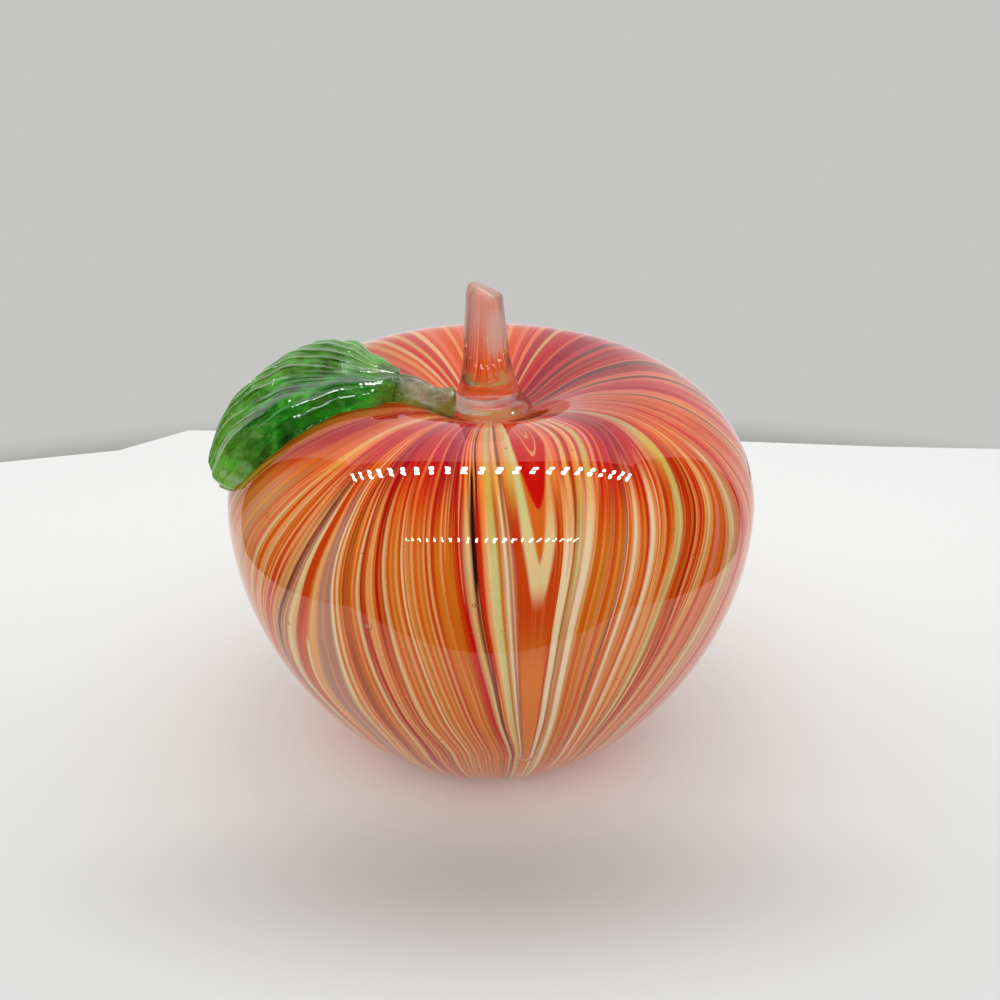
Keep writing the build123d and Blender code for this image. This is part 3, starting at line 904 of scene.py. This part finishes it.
# Rows of shares of the height and of the radius, then the depth of the section for its width
foot_rows = ((-0.2, 0.95, 1.0), (0.0, 0.985, 1.0), (0.14, 1.0, 1.0), (0.3, 0.95, 1.0), (0.52, 0.8, 1.0))
column_rows = ((0.18, 1.32, 1.0), (0.27, 1.15, 1.0), (0.41, 1.0, 1.0), (0.6, 0.91, 0.96), (0.78, 0.83, 0.92),
               (0.86, 0.79, 0.88))
tip_rings = 22
stem_columns = 128
stem_rings = 90
left_peak = 29.6 * mm
right_peak = 27.4 * mm
# The tip's outline: how long it stays wide, how blunt it ends, how fast it rises, how thin it is
# pinched, and how far apart its two lobes lie, in shares of the tip's radius
tip_width_power = 2.6
tip_blunt_power = 2.2
tip_rise_power = 1.1
tip_pinch_share = 0.2
lobe_spread_share = 1.5
# The part of the foot's height that is laid on the dimple
foot_seat_share = 0.2


def stem_centre_x(height):
    return -stem_lean * (1 - (1 - min(height, stem_height) / stem_height) ** 2)


def make_stem():
    """The clear stem: a flared foot on the casing, a leaning column and a pinched tip with two lobes."""
    rows = [(foot_height * height, foot_radius * radius, depth) for height, radius, depth in foot_rows]
    rows += [(stem_height * height, column_radius * radius, depth) for height, radius, depth in column_rows]
    rows = np.array(rows)
    rings = []
    heights = np.linspace(rows[0, 0], rows[-1, 0], stem_rings)
    turns = np.linspace(0, 2 * math.pi, stem_columns, endpoint=False)
    for height in heights:
        radius, depth = (smooth_through(rows[:, 0], rows[:, column], height) for column in (1, 2))
        rings.append((height, radius, radius * depth))
    top_height, top_radius, top_depth = rings[-1]
    points = []
    for height, wide, deep in rings:
        centre = stem_centre_x(height)
        points.extend((centre + wide * math.cos(turn), deep * math.sin(turn), dimple_height + height)
                      for turn in turns)
    for ring in range(1, tip_rings):
        way = ring / tip_rings
        shrink = (1 - way ** tip_width_power) ** (1 / tip_blunt_power)
        for turn in turns:
            across = top_radius * shrink * math.cos(turn)
            side = min(max(0.5 + across / (lobe_spread_share * top_radius), 0.0), 1.0)
            side = side * side * (3 - 2 * side)
            peak = left_peak + (right_peak - left_peak) * side
            rise = top_height + (peak - top_height) * math.sin(way * math.pi / 2) ** tip_rise_power
            deep = top_depth * shrink * math.sin(turn) * (1 - tip_pinch_share * way)
            points.append((stem_centre_x(rise) + across, deep, dimple_height + rise))
    all_rings = stem_rings + tip_rings - 1
    bottom, top = len(points), len(points) + 1
    points.append((0.0, 0.0, dimple_height + rows[0, 0]))
    points.append((stem_centre_x(stem_height), 0.0, dimple_height + (left_peak + right_peak) / 2))
    points = np.array(points)
    # The underside follows the dimple, a hair inside the casing
    low = points[:, 2] - dimple_height
    seated = seat_points(points, -sunk)
    under = (low < foot_seat_share * foot_height) & (points[:, 2] < seated[:, 2])
    points[under, 2] = seated[under, 2]
    points[bottom] = (0.0, 0.0, dimple_height - sunk)
    under[bottom] = True
    fused = under & (np.hypot(points[:, 0], points[:, 1]) < under_foot_radius)
    faces = tube_faces(all_rings, stem_columns)
    last = (all_rings - 1) * stem_columns
    for column in range(stem_columns):
        beside = (column + 1) % stem_columns
        faces.append((bottom, beside, column))
        faces.append((last + column, last + beside, top))
    return make_piece("stem_glass", points, faces, fused=fused.astype(float))


# Leaf and stalk: stations follow the outline on the -X side from the leaf's root

leaf_length = 45.0 * mm
leaf_width = 43.0 * mm
leaf_thickness = 6.4 * mm
leaf_root_radius = 21.5 * mm
rib_height = 2.1 * mm
# How broad the ribs are, and the part of their height that is taken off again to keep the blade's thickness
rib_power = 0.75
rib_middle_share = 0.714
stalk_width = 9.2 * mm
stalk_thickness = 5.4 * mm
stalk_forward = 5.8 * mm
stalk_end_radius = 7.6 * mm
# Share of the leaf's length, then the front and the back edge in shares of the leaf's width
edge_shares = (
    (0.0, (stalk_forward + stalk_width / 2) / leaf_width, (stalk_forward - stalk_width / 2) / leaf_width),
    (0.1, 0.355, -0.13), (0.22, 0.395, -0.29), (0.34, 0.44, -0.42), (0.46, 0.46, -0.47),
    (0.58, 0.475, -0.36), (0.7, 0.47, -0.2), (0.82, 0.44, -0.05), (0.93, 0.375, 0.09), (1.0, 0.29, 0.19),
)
# Share of the leaf's length, then the share of the leaf's thickness and of the ribs' height there
swell_shares = (
    (0.0, stalk_thickness / leaf_thickness, 0.0), (0.12, 0.74, 0.45), (0.3, 0.75, 1.0),
    (0.5, 0.88, 1.0), (0.75, 1.0, 1.0), (0.92, 0.85, 0.8), (1.0, 0.4, 0.0),
)
# Share of the way from the front edge to the back edge, then the dome and the ribs there
dome_shares = (
    (0.0, 0.0, 0.0), (0.03, 0.5, 0.0), (0.09, 0.78, 0.0), (0.16, 0.92, 0.05), (0.24, 0.9, 0.15),
    (0.36, 0.88, 0.55), (0.5, 0.98, 1.0), (0.75, 0.98, 1.0), (0.93, 0.8, 0.9), (1.0, 0.25, 0.4),
)
rib_count = 5
rib_sweep_share = 1.7
scallop_share = 0.07
scallop_power = 4
blade_stations = 180
blade_points = 170
# Share of the stalk's length from the leaf, then the share of its width and thickness there
stalk_swell_shares = ((0.0, 1.0), (0.4, 0.94), (0.8, 1.14), (1.0, 1.06))
stalk_stations = 70
stalk_points = 60
stalk_overlap = 0.4 * mm
# The stalk's end: the part of the length that is rounded, how far it drops and the width it keeps
stalk_round_share = 0.2
stalk_drop_share = 0.96
stalk_end_width_share = 0.35
stalk_dome_power = 0.6
# Its twist: turns across and along, and its depth in shares of the thickness
twist_across = 1.4
twist_along = 1.6
twist_share = 0.13
untwisted_share = 0.88
leaf_side = np.array([0.0, -1.0, 0.0])


def eased(way):
    """A way from 0 to 1 that is slow near both ends."""
    return (1 - math.cos(math.pi * way)) / 2


def read_shares(rows, place, column):
    """A value of a table of shares at a place between its rows, blended smoothly."""
    for low, high in zip(rows, rows[1:]):
        if place <= high[0]:
            way = eased((place - low[0]) / (high[0] - low[0]))
            return low[column] + (high[column] - low[column]) * way
    return rows[-1][column]


crown_run = float(np.interp(crown_radius, outer_wall[::-1, 0][:well_rows], run[::-1][:well_rows]))
root_run = crown_run + (crown_radius - leaf_root_radius)


def outline_frame(distance):
    """Place and outward direction on the -X side at a distance from the leaf's root, going out."""
    along = root_run - distance
    radius, height = (float(np.interp(along, run, outer_wall[:, axis])) for axis in (0, 1))
    out, up = (float(np.interp(along, run, outer_normals[:, axis])) for axis in (0, 1))
    return np.array([-radius, 0.0, height]), np.array([-out, 0.0, up]), radius, out


def blade_surface(share, way_back):
    """A point of the leaf's upper face."""
    front = leaf_width * read_shares(edge_shares, share, 1)
    back = leaf_width * read_shares(edge_shares, share, 2)
    thick = leaf_thickness * read_shares(swell_shares, share, 1)
    ribs = read_shares(swell_shares, share, 2)
    place, outward, radius, out = outline_frame(leaf_length * share)
    phase = rib_count * (share + rib_sweep_share * (1 - way_back))
    ridge = abs(math.sin(math.pi * phase)) ** rib_power
    across = front + (back - front) * way_back
    across -= ribs * scallop_share * leaf_width * ridge * way_back ** scallop_power
    rise = thick * read_shares(dome_shares, way_back, 1)
    rise += ribs * rib_height * (ridge - rib_middle_share) * read_shares(dome_shares, way_back, 2)
    bend = out / (2 * radius)
    return place + leaf_side * across + outward * (rise - bend * across * across)


def closed_strip(name, top, seat_lift):
    """A closed solid from a grid of upper points and the same grid laid on the casing, with the
    share across and the share along marked on it."""
    stations, count = top.shape[:2]
    under = seat_points(top.reshape(-1, 3), seat_lift).reshape(top.shape)
    columns = 2 * count
    points = [point for upper, lower in zip(top, under) for point in [*upper, *lower[::-1]]]
    across_shares = np.linspace(0.0, 1.0, count)
    across_marks = list(across_shares) + list(across_shares[::-1])
    faces = tube_faces(stations, columns)
    for ring, flip in ((0, True), (stations - 1, False)):
        start = ring * columns
        end = start + columns - 1
        for index in range(count - 1):
            face = (start + index, start + index + 1, end - 1 - index, end - index)
            faces.append(tuple(reversed(face)) if flip else face)
    marks = [[(across_marks[vertex % columns], vertex // columns / (stations - 1)) for vertex in face]
             for face in faces]
    return make_piece(name, points, faces, marks)


def make_leaf():
    """The ribbed leaf, thick along the front, scalloped along the back."""
    top = np.zeros((blade_stations, blade_points, 3))
    for station in range(blade_stations):
        for index in range(blade_points):
            way_back = eased(index / (blade_points - 1))
            top[station, index] = blade_surface(station / (blade_stations - 1), way_back)
    return closed_strip("leaf_glass_blade", top, -sunk)


def make_stalk():
    """The leaf's twisted stalk, from the blade to the foot of the stem."""
    length = leaf_root_radius - stalk_end_radius
    top = np.zeros((stalk_stations, stalk_points, 3))
    for station in range(stalk_stations):
        share = station / (stalk_stations - 1)
        place, outward, radius, out = outline_frame(-length * share + stalk_overlap)
        waist = read_shares(stalk_swell_shares, share, 1)
        bend = out / (2 * radius)
        past = max(0.0, share - 1 + stalk_round_share) / stalk_round_share
        rounded = math.sqrt(1 - stalk_drop_share * past * past)
        width = stalk_width * waist * (stalk_end_width_share + (1 - stalk_end_width_share) * rounded)
        for index in range(stalk_points):
            way = index / (stalk_points - 1)
            across = stalk_forward + width * (0.5 - way)
            dome = math.sin(math.pi * way) ** stalk_dome_power * rounded
            twist = math.sin(2 * math.pi * (way * twist_across + share * twist_along))
            rise = stalk_thickness * waist * dome * (untwisted_share + twist_share * twist)
            top[station, index] = place + leaf_side * across + outward * (rise - bend * across * across)
    return closed_strip("leaf_glass_stalk", top[::-1], -sunk)


root_colour = paint(120, 168, 70)
leaf_wave_height = 0.04 * mm
fine_ridge_height = 0.11 * mm
stalk_wave_height = 0.5 * mm


def leaf_material():
    """Green glass: deep along the thick front edge, pale and yellow towards the scalloped back and the
    tip, with milky lines drawn along the grooves between the ribs."""
    finish = Finish("leaf_green_glass")
    way, along = finish.parts(finish.place("UV"))[:2]
    back = (1 - (way * math.pi).cosine()) * 0.5
    place = finish.place()
    phase = rib_count * (along + rib_sweep_share * (1 - back))
    ridge = (phase * math.pi).sine().size()
    cloud = finish.noise(place, 190.0, 4.0, 0.6)
    streak = finish.noise(finish.vector(phase * 2.6, along * 3.5 + back * 2.0), 1.0, 3.0, 0.6)
    colour = finish.blend(back.rise(0.12, 0.7), paint(54, 172, 44), paint(156, 204, 126))
    colour = finish.blend(along.rise(0.5, 0.95) * 0.85, colour, paint(176, 216, 108))
    colour = finish.blend(streak.rise(0.5, 0.72) * 0.6, colour, paint(188, 218, 150))
    colour = finish.blend((1 - streak.rise(0.3, 0.45)) * 0.5, colour, paint(20, 104, 22))
    milk_colour = finish.blend(cloud.rise(0.52, 0.7), colour, paint(90, 200, 64))
    root = 1 - along.rise(0.0, 0.13)
    colour = finish.blend(root, colour, root_colour)
    milk_colour = finish.blend(root, milk_colour, root_colour)
    waves = finish.noise(place, 300.0, 1.0) * leaf_wave_height
    wander = finish.noise(place, 60.0, 1.0)
    fine = ((phase * 3.0 + wander * 1.2) * (2 * math.pi)).sine()
    height = waves + fine * back.rise(0.15, 0.4) * along.rise(0.05, 0.25) * fine_ridge_height
    bump = finish.bump(height)
    groove = 1 - ridge.rise(0.08, 0.3)
    clouded = cloud.rise(0.38, 0.75) * 0.5 + groove * back.rise(0.1, 0.3) * 0.35
    clouded = (clouded + back.rise(0.6, 0.95) * 0.3 + along.rise(0.75, 1.0) * 0.2).at_most(0.8)
    leaf_glass = finish.mix_shaders(clouded, finish.glass(colour, bump), finish.milk(milk_colour, 0.03, bump))
    return finish.surface(through_light(finish, leaf_glass, (0.45, 0.85, 0.3, 1.0)))


def stalk_material():
    """Nearly clear glass with a little green and milk twisted through it."""
    finish = Finish("stalk_pale_glass")
    way, along = finish.parts(finish.place("UV"))[:2]
    twist = finish.noise(finish.vector(way * 5.0 + along * 3.0, along * 2.0), 1.0, 3.0, 0.6)
    colour = finish.blend(twist.rise(0.42, 0.62), paint(150, 186, 96), paint(214, 224, 176))
    colour = finish.blend(along.rise(0.72, 1.0), colour, root_colour)
    waves = finish.noise(finish.vector(way * 9.0 + along * 5.0, along * 6.0), 1.0, 2.0)
    bump = finish.bump(waves, stalk_wave_height)
    milk = finish.milk(paint(120, 142, 66), 0.05, bump)
    clouded = finish.mix_shaders(twist.rise(0.4, 0.7) * 0.55 + 0.12, finish.glass(colour, bump), milk)
    return finish.surface(through_light(finish, clouded, (0.85, 0.9, 0.7, 1.0)))


# Pieces

canes = make_canes()
canes.data.materials.append(cane_material())
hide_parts("red_canes", "orange_canes", "amber_canes", "cream_canes", "lime_canes", "plum_canes")
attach(canes, "root")

casing = make_casing(clear_glass("clear_casing_glass", casing_waves, well=well_height))
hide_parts("clear_casing")
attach(casing, "root")

stem = make_stem()
stem.data.materials.append(clear_glass("clear_stem_glass", stem_waves, stem_tint, is_stem=True))
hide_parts("stem")
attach(stem, "root")

leaf = make_leaf()
leaf.data.materials.append(leaf_material())
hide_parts("leaf_blade")
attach(leaf, "root")

stalk = make_stalk()
stalk.data.materials.append(stalk_material())
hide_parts("leaf_stalk")
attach(stalk, "root")

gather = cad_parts["inner_gather"]
gather.data.materials.clear()
gather.data.materials.append(clear_glass("clear_gather_glass", gather_waves))

# Stage: a pale floor, a grey wall that only the picture sees, and the bright sheets of a small
# light tent that only gloss and glass see

wall_y = 167 * mm
floor_half = 200 * mm
tent_half = 140 * mm
tent_front = -118 * mm
tent_top = 235 * mm
tent_side_front = 45 * mm
tent_top_front = 30 * mm
floor_drop = 0.15 * mm
# The floor: where its painted light turns from the darker near shade to the lighter far part, how far the
# painted pool of light round the apple reaches, and the middle and half sizes of the soft painted shadow in
# front
floor_turn = (-90 * mm, 110 * mm)
floor_near_painted_shade = (0.775, 0.8, 0.8, 1.0)
floor_far_painted_light = (0.925, 0.95, 0.945, 1.0)
lit_reach = (25 * mm, 60 * mm)
shade_y = -61 * mm
shade_half_width = 112 * mm
shade_half_depth = 34 * mm


def make_sheet(name, corners, material):
    """One flat sheet of the stage."""
    sheet = make_piece(name, corners, [tuple(range(len(corners)))], smooth=False)
    sheet.data.materials.append(material)
    return sheet


def only_gloss(sheet):
    """Hide a sheet from the picture, from soft light and from shadows."""
    sheet.visible_camera = False
    sheet.visible_diffuse = False
    sheet.visible_shadow = False


def glow(name, strength, through=None, colour=white):
    """A sheet of light, with its own strength where it is seen through glass."""
    finish = Finish(name)
    light = finish.glow(colour, strength)
    if through is not None:
        inside = finish.ray("Is Transmission Ray", "Transmission Depth").at_most(1.0)
        light = finish.mix_shaders(inside, light, finish.glow(colour, through))
    return finish.surface(light)


def floor_material():
    """Pale floor with painted light: lighter at the back, a painted pool of light round the apple and a
    painted shadow in front, with its lit part ending where the tent ends.
    """
    finish = Finish("pale_floor")
    place = finish.place()
    x, y = finish.parts(place)[:2]
    # Painted light: the floor is lighter towards the back, where the tent's walls light it
    colour = finish.blend(y.rise(*floor_turn), floor_near_painted_shade, floor_far_painted_light)
    # Painted light: a pool of light on the floor round the apple's base
    lit = 1 - finish.length(place).rise(*lit_reach)
    colour = finish.blend(lit * 0.9, colour, (1.0, 0.99, 0.98, 1.0))
    # Painted shadow: a soft dark patch on the floor in front of the apple
    shade = finish.length(finish.vector(x / shade_half_width, (y - shade_y) / shade_half_depth))
    colour = finish.blend((1 - shade.rise(0.0, 1.0)) * 0.72, colour, (0.5, 0.49, 0.49, 1.0))
    outside = (x.size() > tent_half).at_least(y < tent_front)
    soft = finish.add("ShaderNodeBsdfDiffuse", None, {"Color": colour})
    dark = finish.glow((0.05, 0.05, 0.055, 1.0), 1.0)
    return finish.surface(finish.mix_shaders(finish.ray("Is Glossy Ray") * outside, soft, dark))


# The floor's back edge, across and back in mm, uneven where its sheet is bent up
back_edge = ((200, 149), (128, 152.6), (83, 156.6), (-80, 165), (-102, 165.6), (-122, 149.6), (-200, 130))
floor_corners = [(-floor_half, -floor_half, -floor_drop), (floor_half, -floor_half, -floor_drop)]
floor_corners += [(x * mm, y * mm, -floor_drop) for x, y in back_edge]
make_sheet("floor_sheet", floor_corners, floor_material())

tent_white = glow("tent_white", 0.85, 0.55, (0.95, 0.98, 1.0, 1.0))
tent_ceiling_white = glow("tent_ceiling_white", 1.0, 0.4, (0.98, 0.93, 1.0, 1.0))
tent_walls = (
    ("tent_back", (-tent_half, wall_y), (tent_half, wall_y)),
    ("tent_left", (-tent_half, tent_side_front), (-tent_half, wall_y)),
    ("tent_right", (tent_half, tent_side_front), (tent_half, wall_y)),
)
for wall_name, wall_start, wall_end in tent_walls:
    wall_corners = [(*wall_start, 0), (*wall_end, 0), (*wall_end, tent_top), (*wall_start, tent_top)]
    only_gloss(make_sheet(wall_name, wall_corners, tent_white))
ceiling = [(-tent_half, tent_top_front, tent_top), (tent_half, tent_top_front, tent_top),
           (tent_half, wall_y, tent_top), (-tent_half, wall_y, tent_top)]
only_gloss(make_sheet("tent_ceiling", ceiling, tent_ceiling_white))

# Two strips of small lamps
lamp_count = 22
lamp_half_run = 138 * mm
lamp_width = 3.9 * mm
lamp_depth = 7.4 * mm
lamp_gap = 3.0 * mm
lamp_slant = 0.7 * mm
lamp_height = 230 * mm
# How far back each strip hangs, and the size of its chips
lamp_rows = ((2 * mm, 1.0), (-183 * mm, 0.8))
lamp_glow = glow("lamp_glow", 150.0)


def make_lamp_strip(name, middle_y, size):
    """One strip: pairs of oblong chips, one behind the other, a little aslant."""
    half_width, half_depth = lamp_width * size / 2, lamp_depth * size / 2
    points = []
    for index in range(lamp_count):
        centre = -lamp_half_run + 2 * lamp_half_run * index / (lamp_count - 1)
        for chip in (-1, 1):
            chip_x = centre + chip * lamp_slant
            chip_y = middle_y + chip * (lamp_depth + lamp_gap) * size / 2
            for side, way in ((-1, -1), (1, -1), (1, 1), (-1, 1)):
                points.append((chip_x + side * half_width, chip_y + way * half_depth, lamp_height))
    faces = [tuple(range(start, start + 4)) for start in range(0, len(points), 4)]
    strip = make_piece(name, points, faces, smooth=False)
    strip.data.materials.append(lamp_glow)
    only_gloss(strip)


for number, (row_y, chip_size) in enumerate(lamp_rows, 1):
    make_lamp_strip(f"lamp_strip_{number}", row_y, chip_size)


def soft_light(name, place, aim, wide, deep, power):
    """A soft lamp that lights surfaces and isn't itself mirrored."""
    lamp = bpy.data.lights.new(name, "AREA")
    lamp.shape = "RECTANGLE"
    lamp.size, lamp.size_y = wide, deep
    lamp.energy = power
    holder = bpy.data.objects.new(name, lamp)
    holder.location = place
    holder.rotation_euler = (Vector(aim) - Vector(place)).to_track_quat("-Z", "Y").to_euler()
    holder.visible_glossy = False
    holder.visible_transmission = False
    holder.visible_camera = False
    bpy.context.scene.collection.objects.link(holder)


# Each light's name, place, aim, width, depth and power
soft_lights = (
    ("light_over", (0, 40 * mm, 232 * mm), (0, 20 * mm, 0), 260 * mm, 150 * mm, 0.1),
    ("light_front", (0, -220 * mm, 240 * mm), (0, 0, 40 * mm), 300 * mm, 120 * mm, 0.08),
)
for light_row in soft_lights:
    soft_light(*light_row)

# Where the wall's darker foot ends, by the height of the line of sight
wall_foot_lines = (-0.4206, -0.395)


def make_world():
    """Even light for surfaces, a grey wall for the picture, and dark surroundings for gloss."""
    world = bpy.data.worlds.new("studio")
    bpy.context.scene.world = world
    finish = Finish("studio", world)
    y, z = finish.parts(finish.place("Generated"))[1:]
    wall = finish.blend(z.rise(*wall_foot_lines), paint(150, 152, 146), paint(197, 197, 195))
    seen, dark, even = (finish.glow(colour, strength, "ShaderNodeBackground") for colour, strength in (
        (wall, 1.0), ((0.06, 0.06, 0.065, 1.0), 1.0), ((1.0, 0.99, 0.98, 1.0), 0.86)))
    shader = finish.mix_shaders(finish.ray("Is Glossy Ray"), even, dark)
    facing_back = y.rise(0.3, 0.55) * finish.ray("Is Transmission Ray")
    shader = finish.mix_shaders(finish.ray("Is Camera Ray").at_least(facing_back), shader, seen)
    finish.surface(shader, "ShaderNodeOutputWorld")


make_world()

# Camera at the photograph's place
camera_distance = 332.4 * mm
camera_pitch = math.radians(26.9)
camera_aim_height = 57.5 * mm
camera_near = 10 * mm
camera_target = Vector((0, 0, camera_aim_height))
camera_data = bpy.data.cameras.new("camera")
camera_data.lens = 54.0
camera_data.sensor_width = 36.0
camera_data.shift_x = 0.0091
camera_data.clip_start = camera_near
camera = bpy.data.objects.new("camera", camera_data)
camera_way = Vector((0, -math.cos(camera_pitch), math.sin(camera_pitch)))
camera.location = camera_target + camera_distance * camera_way
camera.rotation_euler = (camera_target - camera.location).to_track_quat("-Z", "Y").to_euler()
bpy.context.scene.collection.objects.link(camera)
bpy.context.scene.camera = camera
bpy.context.scene.view_settings.view_transform = "Standard"
